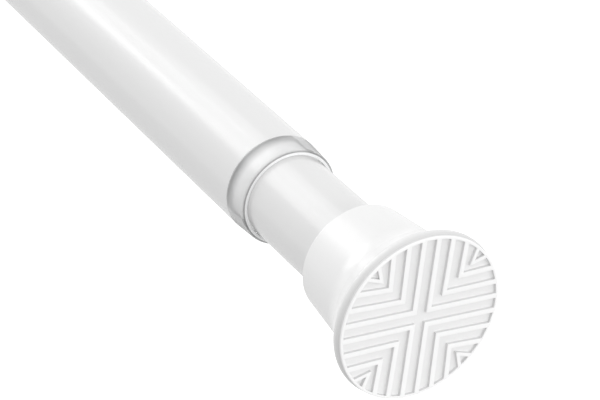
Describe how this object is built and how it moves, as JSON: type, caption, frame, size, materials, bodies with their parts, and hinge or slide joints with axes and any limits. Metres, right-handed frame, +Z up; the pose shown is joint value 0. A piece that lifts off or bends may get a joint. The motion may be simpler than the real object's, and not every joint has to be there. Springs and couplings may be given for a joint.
{
  "type": "spring tension rod",
  "caption": "Telescoping white curtain rod that presses between two walls, with ridged soft end pads, a clear tube collar and an inner twist lock and pressure spring.",
  "frame": {"origin": "centre of the wall face of the outer tube's soft pad", "axes": "+X along the rod to the sliding end, +Z up, +Y level"},
  "size_m": [0.406, 0.0404, 0.0404],
  "materials": {
    "white_paint": "smooth glossy white paint on thin steel tube",
    "white_plastic": "glossy white moulded plastic",
    "white_rubber": "satin white soft rubber",
    "clear_plastic": "polished clear plastic",
    "lock_plastic": "matt natural moulded plastic",
    "spring_steel": "drawn spring wire",
    "zinc_steel": "zinc-plated steel"
  },
  "bodies": {
    "outer": {"outer_grip_pad": "white_rubber", "outer_end_cap": "white_plastic", "outer_tube": "white_paint", "mouth_collar": "clear_plastic"},
    "grip": {"expander_sleeve": "lock_plastic"},
    "wedge": {"wedge_nut": "lock_plastic"},
    "shaft": {"shaft_end_nut": "zinc_steel", "lock_shaft": "zinc_steel", "thrust_washer": "zinc_steel", "lock_hub": "zinc_steel", "hub_pin": "zinc_steel", "front_spring_washer": "zinc_steel", "pressure_spring": "spring_steel", "stop_washer": "zinc_steel", "stop_nut": "zinc_steel"},
    "inner": {"rear_spring_washer": "zinc_steel", "tail_plug": "lock_plastic", "inner_tube": "white_paint", "inner_end_cap": "white_plastic", "inner_grip_pad": "white_rubber"}
  },
  "joints": [
    {"name": "length_adjust", "type": "slide", "parent": "outer", "child": "grip", "axis": [1, 0, 0], "range_m": [0, 0.204]},
    {"name": "twist_lock", "type": "hinge", "parent": "grip", "child": "shaft", "pos_m": [0.056, 0, 0], "axis": [1, 0, 0], "range_deg": [0, 540]},
    {"name": "wedge_travel", "type": "slide", "parent": "grip", "child": "wedge", "axis": [-1, 0, 0], "range_m": [0, 0.003]},
    {"name": "spring_travel", "type": "slide", "parent": "shaft", "child": "inner", "axis": [-1, 0, 0], "range_m": [0, 0.028], "stiffness_N_per_m": 3370, "springref_m": -0.005, "deforming": ["pressure_spring"]}
  ],
  "couplings": [
    {"joint": "wedge_travel", "follows": "twist_lock", "m_per_rad": 0.0003183}
  ]
}
